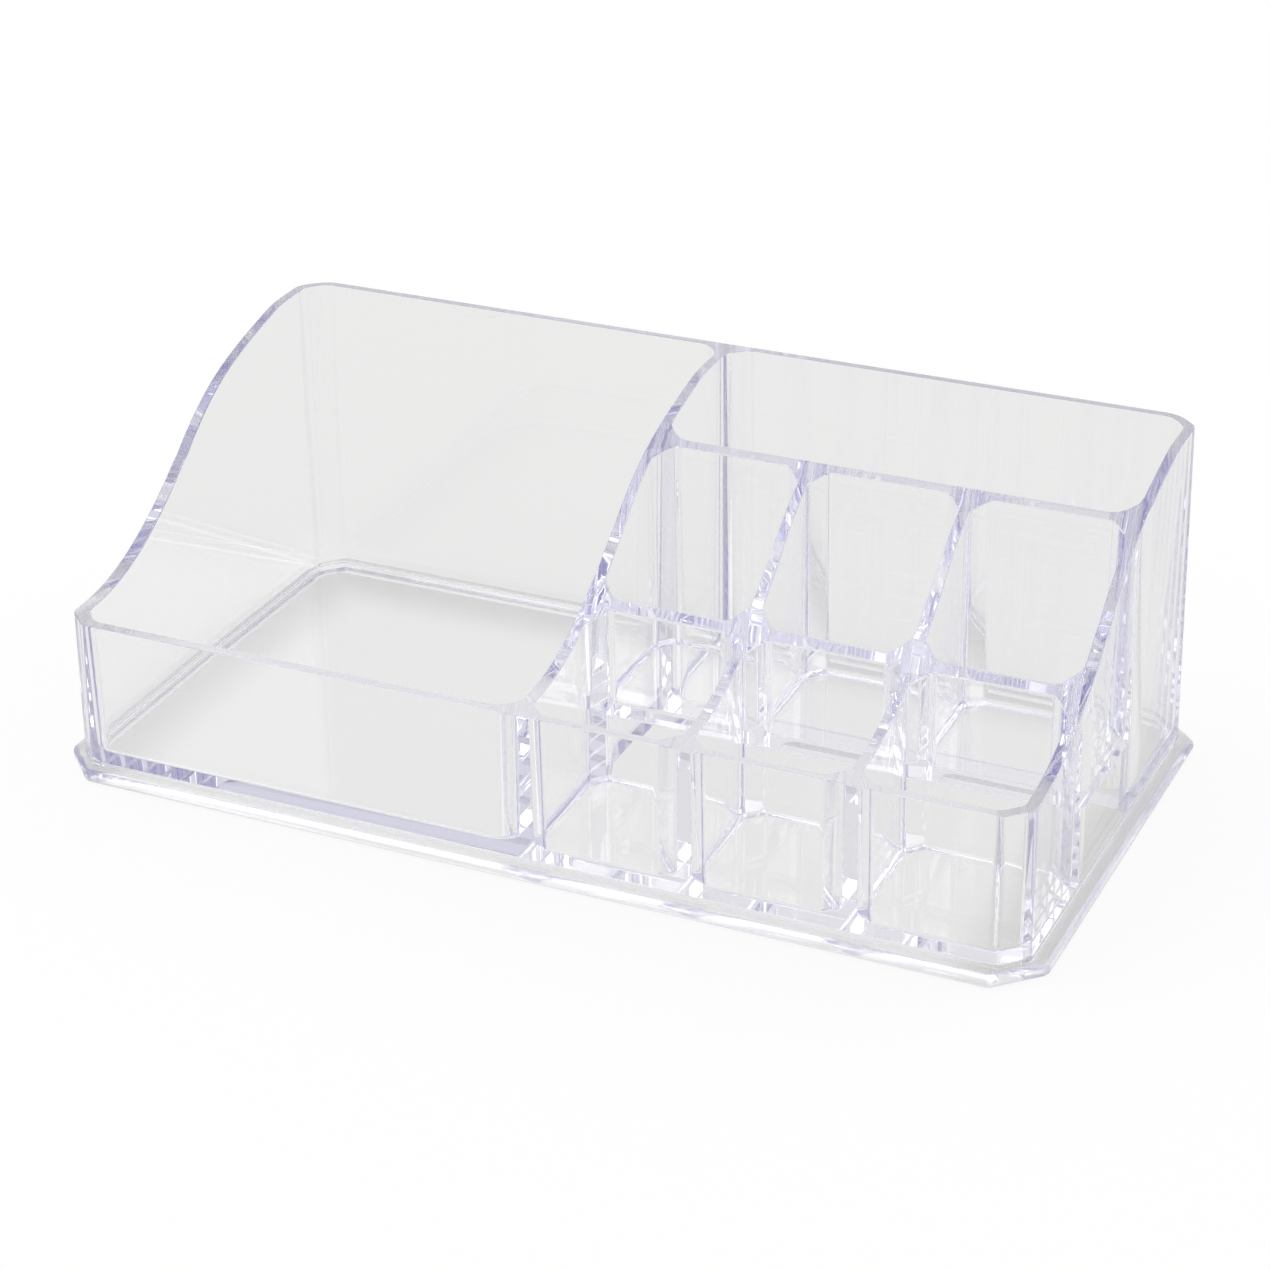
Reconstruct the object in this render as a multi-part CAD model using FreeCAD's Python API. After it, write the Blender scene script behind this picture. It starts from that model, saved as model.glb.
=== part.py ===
import FreeCAD, Part
import math
import os

# Clear moulded vanity organizer: a tray, a rear slot and two stepped rows of cells inside a base flange.
# Millimetres. X runs along the front, Y to the back, Z up, and the origin is under the middle of the base.

# Flange round the foot of the body
overall_width = 221.0
overall_depth = 116.5
flange_thickness = 3.0
flange_overhang = 3.5
flange_corner = 9.0
flange_edge_round_share = 0.48

# Body
back_height = 75.2
front_height = 36.0
body_corner = 5.0

# Walls and floors
wall = 2.2
draft_degrees = 0.6
pocket_corner = 3.6
cove_radius = 1.2
floor_height = 5.2
floor_thickness = 2.4
raised_floor_thickness = 2.2

# Cells of the right half: three columns, a front row and a raised row behind it
column_names = ("left", "middle", "right")
divider_names = ("left", "right")
cell_width = 32.8
front_cell_depth = 31.7
raised_cell_depth = 31.3
raised_step = 16.8

# S-shaped rim of the side walls and dividers: shares of the body's depth and of the rise from front to back
rim_depth_shares = (0, 0.16, 0.4, 0.6, 0.8, 1)
rim_rise_shares = (0, 0.037, 0.39, 0.788, 0.967, 1)

# Length by which every cutting shape runs past what it cuts
overrun = 5.0

# Places worked out from the sizes above
columns = len(column_names)
body_width = overall_width - 2 * flange_overhang
body_depth = overall_depth - 2 * flange_overhang
all_x = (-overall_width / 2, overall_width / 2)
all_y = (-overall_depth / 2, overall_depth / 2)
recess_height = floor_height - floor_thickness
raised_floor = floor_height + raised_step
hollow_height = raised_floor - raised_floor_thickness
draft_slope = math.tan(math.radians(draft_degrees))
draft_reserve = (back_height - floor_height) * draft_slope
gusset = pocket_corner + draft_reserve
column_pitch = cell_width + wall

# Inner faces of the outer walls, at their rims
right_face = body_width / 2 - back_height * draft_slope - wall
left_face = -right_face
front_face = front_height * draft_slope + wall - body_depth / 2
back_face = body_depth / 2 - back_height * draft_slope - wall
cells_left = right_face - columns * cell_width - (columns - 1) * wall
tray_right = cells_left - wall
step_front = front_face + front_cell_depth
step_back = step_front + wall
slot_front = step_back + raised_cell_depth
slot_back = slot_front + wall


def block(x_range, y_range, z_range):
    """A box between two places on each axis."""
    low, high = zip(x_range, y_range, z_range)
    size = [b - a for a, b in zip(low, high)]
    return Part.makeBox(*size, FreeCAD.Vector(*low))


def flat_face(points):
    """A face with straight sides between points that lie in one plane."""
    return Part.Face(Part.makePolygon([*points, points[0]]))


def octagon(x_range, y_range, corner, height):
    """The corners of a level rectangle whose own four corners are cut off."""
    (x0, x1), (y0, y1) = x_range, y_range
    outline = [
        (x0 + corner, y0), (x1 - corner, y0), (x1, y0 + corner), (x1, y1 - corner),
        (x1 - corner, y1), (x0 + corner, y1), (x0, y1 - corner), (x0, y0 + corner),
    ]
    return [FreeCAD.Vector(x, y, height) for x, y in outline]


def level_edges(shape, height):
    """The edges of a shape that lie flat at one height."""
    tolerance = shape.getTolerance(1)
    flat = [abs(e.BoundBox.ZMin - height) + abs(e.BoundBox.ZMax - height) for e in shape.Edges]
    return [edge for edge, gap in zip(shape.Edges, flat) if gap < tolerance]


def make_rim():
    """The S-shaped rim, from the top of the front wall to the top of the back wall."""
    rise = back_height - front_height
    points = [
        FreeCAD.Vector(0, depth_share * body_depth - body_depth / 2, front_height + rise_share * rise)
        for depth_share, rise_share in zip(rim_depth_shares, rim_rise_shares)
    ]
    level = FreeCAD.Vector(0, 1, 0)
    curve = Part.BSplineCurve()
    curve.interpolate(Points=points, InitialTangent=level, FinalTangent=level)
    return curve


def rim_height(rim, y):
    """Height of the rim at one distance from front to back."""
    plane = Part.Plane(FreeCAD.Vector(0, y, 0), FreeCAD.Vector(0, 1, 0))
    return rim.intersect(plane)[0][0].Z


def make_tapered(x_range, y_range, corner, heights, level=0, slope=0):
    """An octagonal solid that has its nominal plan at one level and widens upwards by a slope."""
    def outline(height):
        spread = (height - level) * slope
        (x0, x1), (y0, y1) = x_range, y_range
        return octagon((x0 - spread, x1 + spread), (y0 - spread, y1 + spread), corner, height)
    bottom, top = [outline(height) for height in heights]
    sides = [flat_face([bottom[i - 1], bottom[i], top[i], top[i - 1]]) for i in range(len(bottom))]
    return Part.Solid(Part.Shell([flat_face(bottom[::-1]), flat_face(top)] + sides))


def make_column():
    """The outside of the body: its nominal plan on the ground, and narrower upwards by the draft."""
    x_range, y_range = (-body_width / 2, body_width / 2), (-body_depth / 2, body_depth / 2)
    return make_tapered(x_range, y_range, body_corner, (0, back_height + overrun), slope=-draft_slope)


def make_flange():
    """The octagonal ring round the foot of the body, with its outer edges rounded."""
    plate = make_tapered(all_x, all_y, flange_corner, (0, flange_thickness))
    outer_edges = level_edges(plate, 0) + level_edges(plate, flange_thickness)
    plate = plate.makeFillet(flange_edge_round_share * flange_thickness, outer_edges)
    return plate.cut(make_column())


def make_blank(rim):
    """The body before its pockets: the column under the rim."""
    front, back = -body_depth / 2, body_depth / 2
    sides = [
        FreeCAD.Vector(0, back, back_height), FreeCAD.Vector(0, back, 0),
        FreeCAD.Vector(0, front, 0), FreeCAD.Vector(0, front, front_height),
    ]
    profile = Part.Face(Part.Wire([rim.toShape()] + Part.makePolygon(sides).Edges))
    profile.translate(FreeCAD.Vector(-body_width / 2, 0, 0))
    slab = profile.extrude(FreeCAD.Vector(body_width, 0, 0))
    return slab.common(make_column())


def make_pocket(x_range, y_range, floor, rim_top):
    """The space in one compartment: it narrows downwards by the draft and ends in a coved floor."""
    heights = (floor, back_height + overrun)
    space = make_tapered(x_range, y_range, pocket_corner, heights, rim_top, draft_slope)
    return space.makeFillet(cove_radius, level_edges(space, floor))


def widened(places):
    """A range of places, moved out on both sides to take in the draft of the walls there."""
    return places[0] - draft_reserve, places[1] + draft_reserve


def flared(x_range, y_range, heights, ends):
    """Where a divider lies: its own strip, with room at the named ends for the corner gussets."""
    (x0, x1), (y0, y1) = x_range, y_range
    room = block(x_range, y_range, heights)
    if "front" in ends:
        room = room.fuse(block((x0 - gusset, x1 + gusset), (y0, y0 + gusset), heights))
    if "back" in ends:
        room = room.fuse(block((x0 - gusset, x1 + gusset), (y1 - gusset, y1), heights))
    if "left" in ends:
        room = room.fuse(block((x0, x0 + gusset), (y0 - gusset, y1 + gusset), heights))
    if "right" in ends:
        room = room.fuse(block((x1 - gusset, x1), (y0 - gusset, y1 + gusset), heights))
    return room


rim = make_rim()
inner_left, inner_right = left_face + draft_reserve, right_face - draft_reserve
inner_front, inner_back = front_face + draft_reserve, back_face - draft_reserve
full_height = (-overrun, back_height + overrun)
tray_strip = widened((tray_right, cells_left))
step_strip = widened((step_front, step_back))
slot_strip = widened((slot_front, slot_back))
column_lefts = [cells_left + i * column_pitch for i in range(columns)]
column_strips = [widened((left - wall, left)) for left in column_lefts[1:]]

# Compartments: space along X, space along Y, height of the floor and of what is under it
compartments = {
    "tray_floor": ((left_face, tray_right), (front_face, back_face), floor_height, recess_height),
    "slot_floor": ((cells_left, right_face), (slot_back, back_face), floor_height, recess_height),
}
for name, left in zip(column_names, column_lefts):
    column = (left, left + cell_width)
    raised_row, front_row = (step_back, slot_front), (front_face, step_front)
    compartments["raised_cell_floor_" + name] = (column, raised_row, raised_floor, hollow_height)
    compartments["front_cell_floor_" + name] = (column, front_row, floor_height, recess_height)

# The moulding: a blank, less its pockets, a shallow recess under the floors and the hollow under the raised row
body = make_blank(rim)
for x_range, y_range, floor, _ in compartments.values():
    body = body.cut(make_pocket(x_range, y_range, floor, rim_height(rim, y_range[1])))
recess_heights = (-overrun, recess_height)
body = body.cut(make_tapered((left_face, right_face), (front_face, back_face), pocket_corner, recess_heights))
body = body.cut(block((cells_left, right_face), (step_back, slot_front), (-overrun, hollow_height)))

# Where each piece lies, in the order in which they take their share of the body
regions = {}
for name, (x_range, y_range, floor, underside) in compartments.items():
    inner_x = (x_range[0] + draft_reserve, x_range[1] - draft_reserve)
    inner_y = (y_range[0] + draft_reserve, y_range[1] - draft_reserve)
    heights = (underside - overrun, floor + cove_radius)
    regions[name] = make_tapered(inner_x, inner_y, pocket_corner, heights)

corner_x = ((all_x[0], inner_left + gusset), (inner_right - gusset, all_x[1]))
back_corners = [block(x_range, (inner_back - gusset, all_y[1]), full_height) for x_range in corner_x]
front_corners = [block(x_range, (all_y[0], inner_front + gusset), full_height) for x_range in corner_x]
regions["back_wall"] = block(all_x, (inner_back, all_y[1]), full_height).fuse(back_corners)
regions["front_wall"] = block(all_x, (all_y[0], inner_front), full_height).fuse(front_corners)
regions["left_wall"] = block((all_x[0], inner_left), all_y, full_height)
regions["right_wall"] = block((inner_right, all_x[1]), all_y, full_height)

cells_x = (tray_strip[1], inner_right)
regions["tray_divider"] = flared(tray_strip, (inner_front, inner_back), full_height, ("front", "back"))
regions["slot_divider"] = flared(cells_x, slot_strip, full_height, ("left", "right"))
regions["step_divider"] = flared(cells_x, step_strip, full_height, ("left", "right"))
for name, strip in zip(divider_names, column_strips):
    regions["raised_cell_divider_" + name] = flared(strip, (step_strip[1], slot_strip[0]), full_height,
                                                    ("front", "back"))
    regions["front_cell_divider_" + name] = flared(strip, (inner_front, step_strip[0]), full_height,
                                                   ("front", "back"))

pieces = {"base_flange": make_flange()}
taken = []
for name, region in regions.items():
    own_room = region.cut(taken) if taken else region
    pieces[name] = body.common(own_room).removeSplitter()
    taken.append(region)

os.makedirs("parts", exist_ok=True)
for name, piece in pieces.items():
    piece.Solids[0].exportStep("parts/" + name + ".step")
    print(name, "solids", len(piece.Solids), "valid", piece.isValid(), "volume", round(piece.Volume, 1))
print("pieces", len(pieces), "volume", round(sum(piece.Volume for piece in pieces.values()), 1))
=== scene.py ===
# %% [markdown]
# # A clear vanity organizer
# The object is one injection moulding of clear polystyrene: a tray, a rear slot and two stepped rows of
# cells under S-shaped rims, on a low flange. The construction frame holds it as separate walls, dividers
# and floors. Here it gets its looks, and clear plastic only looks right as one closed skin: a face left
# inside the plastic would show.

# %% Load the frame
import math

import bmesh
import bpy
import numpy as np
from mathutils import Matrix, Vector


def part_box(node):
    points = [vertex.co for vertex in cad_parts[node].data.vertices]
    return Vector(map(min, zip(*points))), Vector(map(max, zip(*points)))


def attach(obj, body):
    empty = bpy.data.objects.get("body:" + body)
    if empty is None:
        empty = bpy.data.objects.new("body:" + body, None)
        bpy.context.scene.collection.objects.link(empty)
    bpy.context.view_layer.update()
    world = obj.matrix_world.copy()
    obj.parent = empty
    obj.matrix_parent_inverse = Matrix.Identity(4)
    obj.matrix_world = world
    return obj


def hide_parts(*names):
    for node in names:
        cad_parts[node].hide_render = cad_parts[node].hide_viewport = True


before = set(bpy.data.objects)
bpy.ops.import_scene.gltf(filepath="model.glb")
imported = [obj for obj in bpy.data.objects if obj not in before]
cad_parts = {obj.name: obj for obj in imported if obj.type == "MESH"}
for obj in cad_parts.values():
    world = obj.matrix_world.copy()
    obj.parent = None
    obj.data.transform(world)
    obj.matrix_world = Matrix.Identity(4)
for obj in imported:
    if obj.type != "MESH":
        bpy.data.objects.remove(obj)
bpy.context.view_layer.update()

scene = bpy.context.scene
MM = 0.001

# %% [markdown]
# ## Sizes
# Places and main sizes come from the frame, so the looks follow the construction when a size changes. Only
# the small forms of the moulding tool are named here again: the draft, the cut-off corners, the coves round
# the floors and the round of the flange. The S-shaped rim is read off the top edges of two walls, so both
# models share one curve.

# %% Sizes from the frame
DRAFT_SLOPE = math.tan(math.radians(0.6))
POCKET_CORNER = 3.6 * MM
COVE_RADIUS = 1.2 * MM
BODY_CORNER = 5.0 * MM
FLANGE_CORNER = 9.0 * MM
FLANGE_ROUND_SHARE = 0.48
# Points whose places agree to this many decimals of a metre count as one
DECIMALS = 5

flange_low, flange_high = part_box("base_flange")
wall_low, wall_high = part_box("back_wall")
flange_size = (flange_high.x - flange_low.x, flange_high.y - flange_low.y)
body_size = (wall_high.x - wall_low.x, 2 * wall_high.y)
back_height = wall_high.z


def floor_top(name):
    """Height of a floor's flat top, which is the second level of its points from below."""
    levels = {round(v.co.z, DECIMALS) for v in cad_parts[name].data.vertices}
    return sorted(levels)[1]


draft_reserve = (back_height - floor_top("tray_floor")) * DRAFT_SLOPE

rim_nodes = [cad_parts[name] for name in ("left_wall", "tray_divider")]
above_coves = floor_top("raised_cell_floor_left") + 2 * COVE_RADIUS
rim_vertices = [v.co for node in rim_nodes for v in node.data.vertices if v.co.z > above_coves]
rim_points = {round(point.y, DECIMALS): point.z for point in rim_vertices}
rim_y = np.array(sorted(rim_points))
rim_z = np.array([rim_points[y] for y in rim_y])
rim_slope = np.gradient(rim_z, rim_y)


def rim_height(y):
    """Height of the S-shaped rim at one place from front to back, on a smooth curve through its points."""
    i = int(np.clip(np.searchsorted(rim_y, y) - 1, 0, len(rim_y) - 2))
    span = rim_y[i + 1] - rim_y[i]
    t = float(np.clip((y - rim_y[i]) / span, 0, 1))
    from_start = rim_z[i] + rim_slope[i] * span * t
    from_end = rim_z[i + 1] - rim_slope[i + 1] * span * (1 - t)
    blend = t * t * (3 - 2 * t)
    return float(from_start * (1 - blend) + from_end * blend)


print("rim points:", len(rim_y), "heights in mm:", [round(z / MM, 1) for z in (rim_z[0], rim_z[-1])])
print("floors in mm:", [round(floor_top(name) / MM, 2) for name in ("tray_floor", "raised_cell_floor_left")])

# %% [markdown]
# ## The blank
# Before its pockets the moulding is a block with cut-off corners that stands on a flange. A box with a
# bevel could give that, but the sloping S needs points along its sides. So the blank is lofted: one plan
# outline is repeated at several heights and bridged, and its top ring is lifted to the rim. The places of
# the points along the sides keep clear of the cross walls, so that later cuts leave no slivers.

# %% Outlines and lofts
CORNER_STEPS = 8
RIM_STEP = 1.6 * MM
FLANGE_SOFTENING = 0.8 * MM
# Moving a cut-off corner inwards shortens each of its legs by this share of the move
CORNER_SHRINK_SHARE = 2 - math.sqrt(2)
# From the front round to the back: the rear corners of the body are rounder than the front ones
BODY_SOFTENING = np.array((0.8, 0.8, 1.6, 3.2)) * MM


def outline(size, corner, softening, steps, stations=()):
    """Plan of a box with cut-off, softened corners, from the front right round to the front left."""
    half_x, half_y = size[0] / 2, size[1] / 2
    bends = np.array([
        (0, -half_y), (half_x - corner, -half_y), (half_x, corner - half_y),
        (half_x, half_y - corner), (half_x - corner, half_y), (0, half_y),
    ])
    reaches = np.broadcast_to(softening, len(bends) - 2)
    right = []
    for before, bend, after, reach in zip(bends, bends[1:], bends[2:], reaches):
        start = bend + reach * (before - bend) / np.linalg.norm(before - bend)
        end = bend + reach * (after - bend) / np.linalg.norm(after - bend)
        for t in np.linspace(0, 1, steps + 1):
            right.append((1 - t) ** 2 * start + 2 * t * (1 - t) * bend + t ** 2 * end)
    # The straight side, with its stations, lies between the front corner's bends and the rear corner's
    middle = len(right) // 2
    right[middle:middle] = [np.array((half_x, y)) for y in stations]
    left = [point * (-1, 1) for point in reversed(right)]
    return right + left


def loft(mesh, rings):
    """Bridges closed rings of points from the lowest up, and returns the vertices of the highest."""
    layers = [[mesh.verts.new(point) for point in ring] for ring in rings]
    for low, high in zip(layers, layers[1:]):
        for i in range(len(low)):
            mesh.faces.new((low[i - 1], low[i], high[i], high[i - 1]))
    mesh.faces.new(reversed(layers[0]))
    return layers[-1]


def as_object(mesh, name):
    """A scene object from a finished edit mesh, with its faces outwards."""
    bmesh.ops.recalc_face_normals(mesh, faces=mesh.faces)
    data = bpy.data.meshes.new(name)
    mesh.to_mesh(data)
    mesh.free()
    made = bpy.data.objects.new(name, data)
    scene.collection.objects.link(made)
    return made


# %% Rings of the flange and the body
cross_walls = [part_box(name) for name in ("step_divider", "slot_divider")]
side_end = body_size[1] / 2 - FLANGE_CORNER
wall_lines = [-side_end] + [corner.y for pair in cross_walls for corner in pair] + [side_end]
stations = []
for start, end in zip(wall_lines, wall_lines[1:]):
    steps = max(1, round((end - start) / RIM_STEP))
    stations += [start + (i + 0.5) * (end - start) / steps for i in range(steps)]


def flange_rings():
    """Rings of the flange from the ground up: its rounded lower edge, then the same upside down."""
    edge_round = FLANGE_ROUND_SHARE * flange_high.z
    lower = []
    for angle in np.linspace(0, math.pi / 2, CORNER_STEPS + 1):
        inset = edge_round * (1 - math.sin(angle))
        size = [side - 2 * inset for side in flange_size]
        corner = FLANGE_CORNER - inset * CORNER_SHRINK_SHARE
        plan = outline(size, corner, FLANGE_SOFTENING, CORNER_STEPS, stations)
        lower.append([(x, y, edge_round * (1 - math.cos(angle))) for x, y in plan])
    upper = [[(x, y, flange_high.z - z) for x, y, z in ring] for ring in reversed(lower)]
    return lower + upper


def body_plan(height):
    """Plan of the body at one height: it narrows upwards by the draft."""
    size = [side - 2 * height * DRAFT_SLOPE for side in body_size]
    return outline(size, BODY_CORNER, BODY_SOFTENING, CORNER_STEPS, stations)


flange_layers = flange_rings()
print("flange rings:", len(flange_layers), "stations along the rim:", len(stations))

# %% Make the blank
# The rim is level over the corners in front and behind, so each end of it is one face without narrow strips
ground_plan = body_plan(0)
half = len(ground_plan) // 2
end_points = 2 * (CORNER_STEPS + 1)
heights = [rim_height(y) for _, y in ground_plan[:half]]
heights[:end_points] = [heights[0]] * end_points
heights[-end_points:] = [heights[-1]] * end_points
heights += heights[::-1]
body_foot = [(x, y, flange_high.z) for x, y in body_plan(flange_high.z)]
body_rim = [(*body_plan(z)[i], z) for i, z in enumerate(heights)]

blank_mesh = bmesh.new()
rim_ring = loft(blank_mesh, flange_layers + [body_foot, body_rim])
right_side, left_side = rim_ring[:half], rim_ring[:half - 1:-1]
for end in (slice(None, end_points), slice(-end_points, None)):
    blank_mesh.faces.new(right_side[end] + left_side[end][::-1])
for i in range(end_points - 1, half - end_points):
    blank_mesh.faces.new((right_side[i], right_side[i + 1], left_side[i + 1], left_side[i]))
moulding = as_object(blank_mesh, "clear_moulding")
print("blank faces:", len(moulding.data.polygons))

# %% [markdown]
# ## The pockets
# On the real tool each compartment is a steel core that tapers towards its end, so that the part can be
# pulled off. Its vertical corners are cut off and its end is rounded, which leaves the coves round the
# floors. One function lofts such a core from rings. The tray and the slot need one core each. The cells
# repeat, so they have one core for each row, which Geometry Nodes repeat along the columns before they cut
# everything from the blank. Two plain cores from below hollow the foot: a shallow recess under all the
# floors and a deep one under the raised row.

# %% Cores for the pockets
COVE_STEPS = 6
POCKET_STEPS = 2
CELL_SOFTENING = 0.7 * MM
TRAY_SOFTENING = 1.8 * MM
CORE_TOP = back_height + POCKET_CORNER


def closed_loft(name, rings):
    """A closed object lofted from rings of points."""
    mesh = bmesh.new()
    mesh.faces.new(loft(mesh, rings))
    return as_object(mesh, name)


def pocket_core(name, floor_node, softening):
    """The space over one floor: it narrows downwards by the draft and ends in a cove."""
    low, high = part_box(floor_node)
    centre = (low + high) / 2
    nominal = [high.x - low.x + 2 * draft_reserve, high.y - low.y + 2 * draft_reserve]
    rim_top = rim_height(high.y + draft_reserve)
    floor = floor_top(floor_node)
    angles = np.linspace(0, math.pi / 2, COVE_STEPS + 1)
    levels = [(COVE_RADIUS * (1 - math.sin(a)), floor + COVE_RADIUS * (1 - math.cos(a))) for a in angles]
    rings = []
    for cove_inset, z in levels + [(0, CORE_TOP)]:
        inset = cove_inset + (rim_top - z) * DRAFT_SLOPE
        size = [side - 2 * inset for side in nominal]
        plan = outline(size, POCKET_CORNER - cove_inset * CORNER_SHRINK_SHARE, softening, POCKET_STEPS)
        rings.append([(x + centre.x, y + centre.y, z) for x, y in plan])
    return closed_loft(name, rings)


def plain_core(name, first_floor, last_floor, corner):
    """The space under a block of floors, from below the ground to their undersides, without draft."""
    reserve = Vector((draft_reserve, draft_reserve, 0))
    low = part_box(first_floor)[0] - reserve
    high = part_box(last_floor)[1] + reserve
    centre = (low + high) / 2
    plan = outline((high.x - low.x, high.y - low.y), corner, CELL_SOFTENING, POCKET_STEPS)
    rings = [[(x + centre.x, y + centre.y, z) for x, y in plan] for z in (-COVE_RADIUS, low.z)]
    return closed_loft(name, rings)


cell_cores = {
    "Front core": pocket_core("front_cell_core", "front_cell_floor_left", CELL_SOFTENING),
    "Raised core": pocket_core("raised_cell_core", "raised_cell_floor_left", CELL_SOFTENING),
}
single_cores = {
    "Tray core": pocket_core("tray_core", "tray_floor", TRAY_SOFTENING),
    "Slot core": pocket_core("slot_core", "slot_floor", TRAY_SOFTENING),
    "Recess core": plain_core("recess_core", "tray_floor", "slot_floor", POCKET_CORNER),
    "Hollow core": plain_core(
        "hollow_core", "raised_cell_floor_left", "raised_cell_floor_right", COVE_RADIUS),
}
cores = cell_cores | single_cores
print("cores:", [core.name for core in cores.values()])

# %% [markdown]
# ## The material
# Crystal polystyrene is a hard, glass-clear plastic with an index of refraction of 1.59. Makers add a trace
# of violet toner against yellowing, which shows only along long paths, so the rims look lavender and the
# walls colourless. That is absorption in the volume, not a surface colour. The polished tool leaves an
# almost mirror-smooth skin with faint flow waves. Handling adds a few dull rubs to it, and the flange,
# which takes most knocks, is scuffed all over.

# %% One function for nodes and one for colours


def linear(hex_colour):
    """An sRGB hex value as a linear colour."""
    channels = [int(hex_colour[i:i + 2], 16) / 255 for i in (1, 3, 5)]
    return [c / 12.92 if c <= 0.04045 else ((c + 0.055) / 1.055) ** 2.4 for c in channels] + [1.0]


def add_node(tree, kind, inputs=None, **settings):
    """Adds a node with its settings, and with its inputs set to values or linked to sockets."""
    made = tree.nodes.new(kind)
    for name, value in settings.items():
        setattr(made, name, value)
    for socket, value in (inputs or {}).items():
        if isinstance(value, bpy.types.NodeSocket):
            tree.links.new(value, made.inputs[socket])
        else:
            made.inputs[socket].default_value = value
    return made


def empty_material(name):
    """A new material with an empty node tree, and that tree."""
    material = bpy.data.materials.new(name)
    material.use_nodes = True
    material.node_tree.nodes.clear()
    return material, material.node_tree


def past_body(tree, place, front):
    """How far a place lies past the body's sides and back, and if asked its front. Below zero inside."""
    folded = add_node(tree, "ShaderNodeVectorMath", {0: place}, operation="ABSOLUTE").outputs["Vector"]
    across = add_node(tree, "ShaderNodeSeparateXYZ", {"Vector": folded}).outputs["X"]
    deep = add_node(tree, "ShaderNodeSeparateXYZ", {"Vector": folded if front else place}).outputs["Y"]
    past_side = add_node(tree, "ShaderNodeMath", {0: across, 1: body_size[0] / 2}, operation="SUBTRACT")
    past_end = add_node(tree, "ShaderNodeMath", {0: deep, 1: body_size[1] / 2}, operation="SUBTRACT")
    past = add_node(tree, "ShaderNodeMath", {
        0: past_side.outputs["Value"], 1: past_end.outputs["Value"]}, operation="MAXIMUM")
    return past.outputs["Value"]


# %% Clear injection-moulded polystyrene
REFRACTION = 1.59
FLOW_WAVE = 40 * MM
WAVE_HEIGHT = 0.2 * MM
WAVE_STRENGTH = 0.08
RUB_SIZE = 12 * MM
RUB_DULLNESS = 0.03
FLANGE_DULLNESS = 0.25
# The scuffs start just outside the body and are at their full dullness a little further out
SCUFF_START = 0.2 * MM
SCUFF_FULL = 0.8 * MM
TONER_COLOUR = "#E7E6F4"
TONER_DENSITY = 12.0


def clear_polystyrene():
    """Glass-clear moulded plastic with faint flow waves, dull rubs, a scuffed flange and a violet toner."""
    material, tree = empty_material("clear_injection_moulded_polystyrene")
    place = add_node(tree, "ShaderNodeTexCoord").outputs["Object"]
    waves = add_node(tree, "ShaderNodeTexNoise", {"Vector": place, "Scale": 1 / FLOW_WAVE, "Detail": 1.0})
    rubs = add_node(tree, "ShaderNodeTexNoise", {"Vector": place, "Scale": 1 / RUB_SIZE, "Detail": 3.0})
    rubbed = add_node(tree, "ShaderNodeMapRange", {
        "Value": rubs.outputs["Fac"], "From Min": 0.5, "From Max": 0.8,
        "To Min": 0.0, "To Max": RUB_DULLNESS})
    scuffed = add_node(tree, "ShaderNodeMapRange", {
        "Value": past_body(tree, place, front=True), "From Min": SCUFF_START, "From Max": SCUFF_FULL,
        "To Min": 0.0, "To Max": FLANGE_DULLNESS})
    dullness = add_node(tree, "ShaderNodeMath", {
        0: rubbed.outputs["Result"], 1: scuffed.outputs["Result"]}, operation="MAXIMUM")
    bump = add_node(tree, "ShaderNodeBump", {
        "Height": waves.outputs["Fac"], "Strength": WAVE_STRENGTH, "Distance": WAVE_HEIGHT})
    plastic = add_node(tree, "ShaderNodeBsdfPrincipled", {
        "Base Color": linear("#FFFFFF"), "Roughness": dullness.outputs["Value"], "IOR": REFRACTION,
        "Transmission Weight": 1.0, "Normal": bump.outputs["Normal"]})
    toner = add_node(tree, "ShaderNodeVolumeAbsorption", {
        "Color": linear(TONER_COLOUR), "Density": TONER_DENSITY})
    add_node(tree, "ShaderNodeOutputMaterial", {
        "Surface": plastic.outputs["BSDF"], "Volume": toner.outputs["Volume"]})
    return material


polystyrene = clear_polystyrene()
print("material:", polystyrene.name)

# %% [markdown]
# ## Cutting the pockets
# The tree below takes the blank as its geometry. It repeats the two cell cores along the columns, and one
# Boolean cuts them and the single cores away. A Bevel then gives every sharp edge the small round of a
# moulded part, and Weighted Normal keeps the large walls flat beside those rounds, because clear plastic
# shows the smallest dent.

# %% Geometry Nodes: repeat the cell cores and cut


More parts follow.
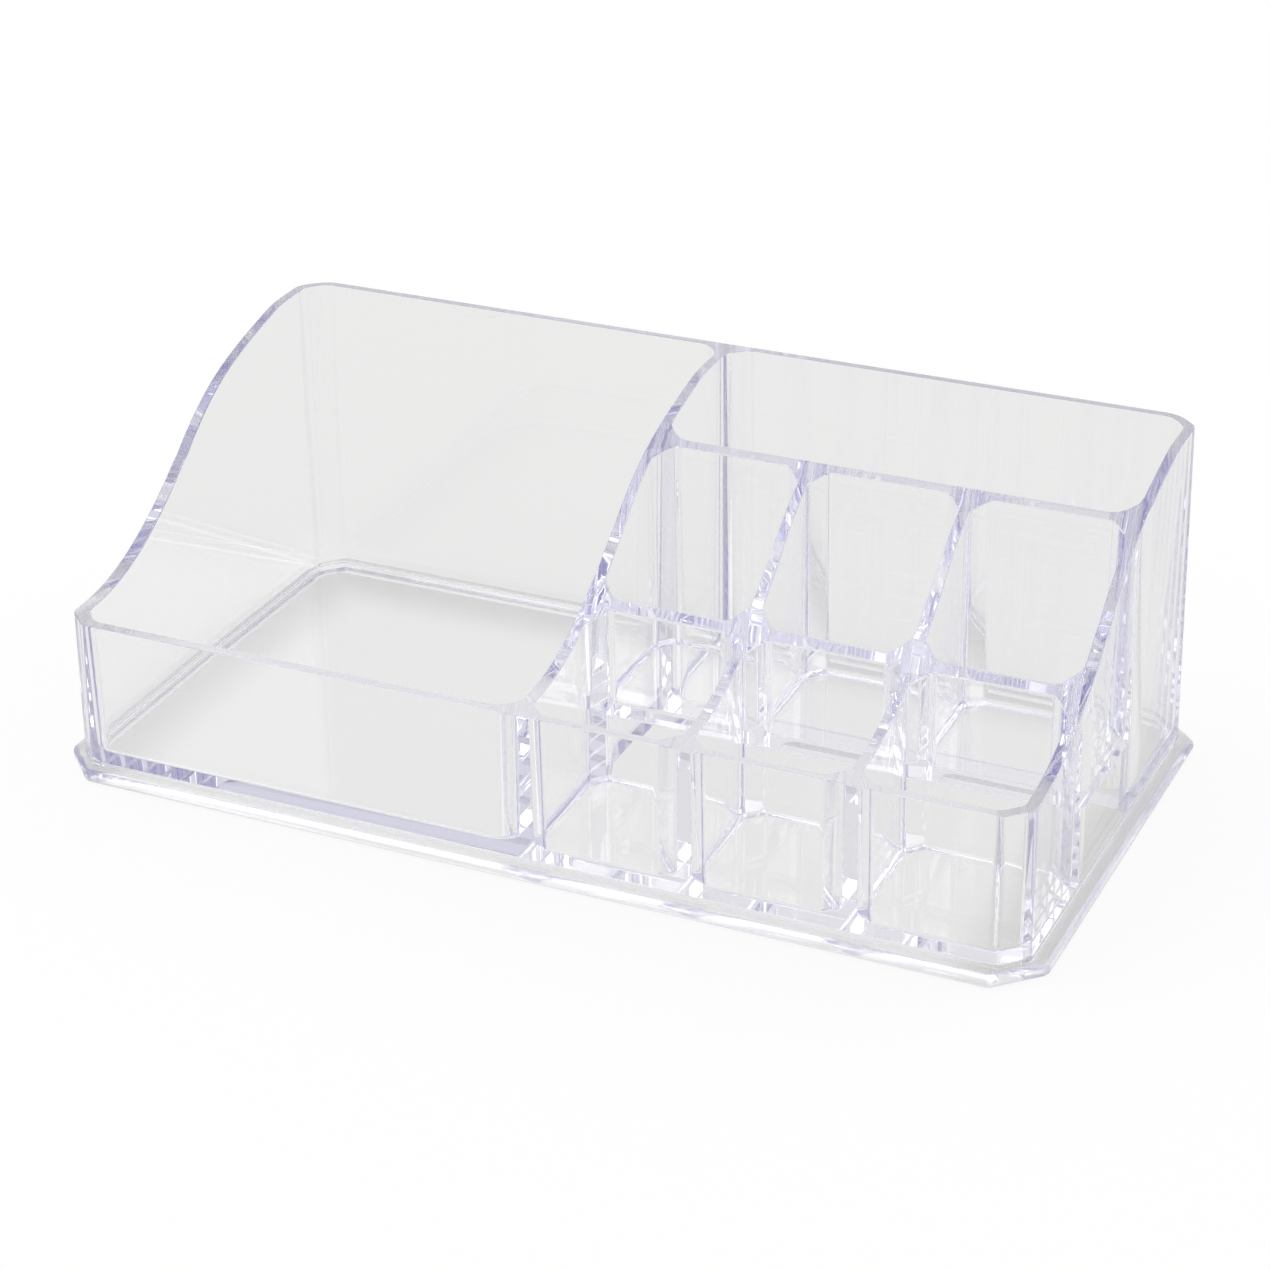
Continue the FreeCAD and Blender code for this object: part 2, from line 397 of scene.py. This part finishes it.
def pocket_tree():
    """A node group that cuts the repeated cell cores and the single cores from a blank."""
    tree = bpy.data.node_groups.new("cut_pockets", "GeometryNodeTree")
    tree.interface.new_socket("Geometry", in_out="OUTPUT", socket_type="NodeSocketGeometry")
    kinds = {"Geometry": "Geometry", "Columns": "Int", "Column pitch": "Float", "Plastic": "Material"}
    kinds |= dict.fromkeys(cores, "Object")
    for name, kind in kinds.items():
        tree.interface.new_socket(name, in_out="INPUT", socket_type="NodeSocket" + kind)
    given = add_node(tree, "NodeGroupInput").outputs
    step = add_node(tree, "ShaderNodeCombineXYZ", {"X": given["Column pitch"]})
    row = add_node(tree, "GeometryNodeMeshLine", {
        "Count": given["Columns"], "Offset": step.outputs["Vector"]})
    column = add_node(tree, "GeometryNodeJoinGeometry")
    cells = add_node(tree, "GeometryNodeInstanceOnPoints", {
        "Points": row.outputs["Mesh"], "Instance": column.outputs["Geometry"]})
    cells = add_node(tree, "GeometryNodeRealizeInstances", {"Geometry": cells.outputs["Instances"]})
    cut = add_node(tree, "GeometryNodeMeshBoolean", {
        "Mesh 1": given["Geometry"], "Mesh 2": cells.outputs["Geometry"]},
        operation="DIFFERENCE", solver="EXACT")
    for name in cores:
        core = add_node(tree, "GeometryNodeObjectInfo", {"Object": given[name]})
        used_by = column.inputs["Geometry"] if name in cell_cores else cut.inputs["Mesh 2"]
        tree.links.new(core.outputs["Geometry"], used_by)
    whole = add_node(tree, "GeometryNodeRealizeInstances", {"Geometry": cut.outputs["Mesh"]})
    painted = add_node(tree, "GeometryNodeSetMaterial", {
        "Geometry": whole.outputs["Geometry"], "Material": given["Plastic"]})
    add_node(tree, "NodeGroupOutput", {"Geometry": painted.outputs["Geometry"]})
    return tree


# %% Cut, round the edges and turn the result into a plain mesh
EDGE_ROUND = 0.25 * MM
SHARP_ANGLE = math.radians(48)
CM = 10 * MM

column_floors = [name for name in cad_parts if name.startswith("front_cell_floor")]
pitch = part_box("front_cell_floor_middle")[0].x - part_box("front_cell_floor_left")[0].x
cutting = moulding.modifiers.new("pockets", "NODES")
cutting.node_group = pocket_tree()
values = {"Columns": len(column_floors), "Column pitch": pitch, "Plastic": polystyrene} | cores
for item in cutting.node_group.interface.items_tree:
    if item.in_out == "INPUT" and item.name in values:
        cutting[item.identifier] = values[item.name]
rounding = moulding.modifiers.new("moulded edges", "BEVEL")
rounding.width = EDGE_ROUND
rounding.segments = 2
rounding.limit_method = "ANGLE"
rounding.angle_limit = SHARP_ANGLE
# Clamping would shrink every round to suit the narrowest face
rounding.use_clamp_overlap = False
smoothing = moulding.modifiers.new("flat walls", "WEIGHTED_NORMAL")
smoothing.weight = 100

for piece in (moulding, *cores.values()):
    for polygon in piece.data.polygons:
        polygon.use_smooth = True
depsgraph = bpy.context.evaluated_depsgraph_get()
finished = bpy.data.meshes.new_from_object(
    moulding.evaluated_get(depsgraph), preserve_all_data_layers=True, depsgraph=depsgraph)
moulding.modifiers.clear()
moulding.data = finished
moulding.data.name = "clear_moulding"
for core in cores.values():
    bpy.data.objects.remove(core)

checked = bmesh.new()
checked.from_mesh(moulding.data)
open_edges = sum(not edge.is_manifold for edge in checked.edges)
print("moulding faces:", len(checked.faces), "open edges:", open_edges)
print("volume in cm3:", round(checked.calc_volume() / CM ** 3, 2))
checked.free()

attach(moulding, "root")
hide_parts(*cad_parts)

# %% [markdown]
# ## The studio
# Clear plastic shows what is around it, so the studio matters as much as the material. A pale floor and an
# even, pale surround give the quiet grey of the walls, and soft boxes give the white glints on rims and
# corners. The camera sees the floor as white. Rays that come through the plastic see mostly an even pale
# tone instead. Near the side and back walls the floor has painted shade: there a mask lowers the even tone,
# so more of the floor's real shade shows as soft, darker bands. The surround is dimmer on the camera's side,
# so the camera's azimuth is named here.

# %% Floor
FLOOR_GAP = 0.1 * MM
FLOOR_SIDE = 12.0
# Share of plain white in the floor that the camera sees
WHITE_SHARE = 0.9
# Share of the even tone in the floor seen through the plastic, close to the walls and away from them. The
# lower share close to the walls is painted shade: it lets more of the floor's real shade show there
EVEN_SHARE_CLOSE = 0.55
EVEN_SHARE_AWAY = 0.95
CLOSE_TO_WALL = 4 * MM
AWAY_FROM_WALL = 20 * MM


def white_paint_and_painted_wall_shade():
    """Paint that the camera sees as white, and an even pale tone through the plastic with painted shade by
    the walls.
    """
    material, tree = empty_material("white_paint_and_painted_wall_shade")
    rays = add_node(tree, "ShaderNodeLightPath").outputs
    surface = add_node(tree, "ShaderNodeBsdfPrincipled", {"Base Color": linear("#F4F4F2"), "Roughness": 0.9})
    white = add_node(tree, "ShaderNodeEmission", {"Color": linear("#FFFFFF"), "Strength": 1.0})
    pale = add_node(tree, "ShaderNodeEmission", {"Color": linear("#EBEBEA"), "Strength": 1.0})
    direct = add_node(tree, "ShaderNodeMath", {
        0: rays["Is Camera Ray"], 1: WHITE_SHARE}, operation="MULTIPLY")
    bent = add_node(tree, "ShaderNodeMath", {
        0: rays["Is Glossy Ray"], 1: rays["Is Transmission Ray"]}, operation="MAXIMUM")
    place = add_node(tree, "ShaderNodeTexCoord").outputs["Object"]
    # Painted shade: close to the side and back walls the even tone gives way, so the floor's real shade
    # shows more there
    from_wall = add_node(tree, "ShaderNodeMath", {
        0: past_body(tree, place, front=False)}, operation="ABSOLUTE")
    painted_wall_shade = add_node(tree, "ShaderNodeMapRange", {
        "Value": from_wall.outputs["Value"], "From Min": CLOSE_TO_WALL, "From Max": AWAY_FROM_WALL,
        "To Min": EVEN_SHARE_CLOSE, "To Max": EVEN_SHARE_AWAY}, interpolation_type="SMOOTHSTEP")
    through = add_node(tree, "ShaderNodeMath", {
        0: bent.outputs["Value"], 1: painted_wall_shade.outputs["Result"]}, operation="MULTIPLY")
    shown = add_node(tree, "ShaderNodeMixShader", {
        "Fac": direct.outputs["Value"], 1: surface.outputs["BSDF"], 2: white.outputs["Emission"]})
    shown = add_node(tree, "ShaderNodeMixShader", {
        "Fac": through.outputs["Value"], 1: shown.outputs["Shader"], 2: pale.outputs["Emission"]})
    add_node(tree, "ShaderNodeOutputMaterial", {"Surface": shown.outputs["Shader"]})
    return material


floor_mesh = bmesh.new()
bmesh.ops.create_grid(floor_mesh, x_segments=1, y_segments=1, size=FLOOR_SIDE / 2,
                      matrix=Matrix.Translation((0, 0, -FLOOR_GAP)))
floor = as_object(floor_mesh, "studio_floor")
floor.data.materials.append(white_paint_and_painted_wall_shade())
print("floor:", floor.name, "side in m:", FLOOR_SIDE)

# %% Surround
AZIMUTH = math.radians(25.126)
SURROUND_BEHIND = 0.88
SURROUND_IN_FRONT = 0.7

level_back = Vector((math.sin(AZIMUTH), -math.cos(AZIMUTH), 0))


def pale_studio():
    """A white world, at full strength to the camera and dimmer to the rest, most of all on its own side."""
    world = bpy.data.worlds.new("pale_studio")
    world.use_nodes = True
    tree = world.node_tree
    tree.nodes.clear()
    rays = add_node(tree, "ShaderNodeLightPath").outputs
    seen = add_node(tree, "ShaderNodeBackground", {"Color": linear("#FFFFFF"), "Strength": 1.0})
    direction = add_node(tree, "ShaderNodeTexCoord").outputs["Generated"]
    facing = add_node(tree, "ShaderNodeVectorMath", {
        0: direction, 1: level_back}, operation="DOT_PRODUCT")
    dimming = add_node(tree, "ShaderNodeMapRange", {
        "Value": facing.outputs["Value"], "From Min": -0.1, "From Max": 0.9,
        "To Min": SURROUND_BEHIND, "To Max": SURROUND_IN_FRONT}, interpolation_type="SMOOTHSTEP")
    around = add_node(tree, "ShaderNodeBackground", {
        "Color": linear("#FFFFFF"), "Strength": dimming.outputs["Result"]})
    mixed = add_node(tree, "ShaderNodeMixShader", {
        "Fac": rays["Is Camera Ray"], 1: around.outputs["Background"], 2: seen.outputs["Background"]})
    add_node(tree, "ShaderNodeOutputWorld", {"Surface": mixed.outputs["Shader"]})
    return world


scene.world = pale_studio()
print("world:", scene.world.name)

# %% Soft boxes


def soft_box(name, place, side, power):
    """A square area lamp, in metres and watts, that points at the middle of the object."""
    lamp = bpy.data.lights.new(name, "AREA")
    lamp.size = side
    lamp.energy = power
    made = bpy.data.objects.new(name, lamp)
    made.location = place
    aim = Vector((0, 0, back_height / 2)) - made.location
    made.rotation_euler = aim.to_track_quat("-Z", "Y").to_euler()
    scene.collection.objects.link(made)


soft_box("key_box", place=(-0.9, -0.4, 1.3), side=1.4, power=6.8)
soft_box("rim_box", place=(0.7, 1.0, 1.0), side=1.0, power=3.6)

# %% [markdown]
# ## The camera
# The camera stands where the photograph was taken from: to the front right and above, far enough that the
# edges converge only a little. Its place is given as angles round a point in the object and a distance.

# %% Camera
IMAGE_SIDE = 1270
FOCAL_PIXELS = 3259.7
SENSOR_WIDTH = 36
ELEVATION = math.radians(26.595)
ROLL = math.radians(-0.814)
DISTANCE = 680.6 * MM
TARGET = Vector((5.0, -8.3, 33.5)) * MM

level_right = Vector((math.cos(AZIMUTH), math.sin(AZIMUTH), 0))
backward = level_back * math.cos(ELEVATION) + Vector((0, 0, math.sin(ELEVATION)))
level_up = backward.cross(level_right)
right = level_right * math.cos(ROLL) + level_up * math.sin(ROLL)
up = level_up * math.cos(ROLL) - level_right * math.sin(ROLL)
lens = bpy.data.cameras.new("photo_camera")
lens.sensor_width = SENSOR_WIDTH
lens.lens = FOCAL_PIXELS / IMAGE_SIDE * SENSOR_WIDTH
camera = bpy.data.objects.new("photo_camera", lens)
turn = Matrix((right, up, backward)).transposed().to_4x4()
camera.matrix_world = Matrix.Translation(TARGET + backward * DISTANCE) @ turn
scene.collection.objects.link(camera)
scene.camera = camera
print("camera at:", [round(v, 3) for v in camera.location], "lens in mm:", round(lens.lens, 1))

# %% [markdown]
# ## Rendering clear plastic
# Light runs along inside the walls and turns back many times before it leaves, so the paths need more turns
# than the usual few, or the rims go black.

# %% Light paths and colour
LIGHT_TURNS = 128

scene.cycles.max_bounces = LIGHT_TURNS
scene.cycles.glossy_bounces = LIGHT_TURNS
scene.cycles.transmission_bounces = LIGHT_TURNS
scene.view_settings.view_transform = "Standard"
print("turns of light:", LIGHT_TURNS)
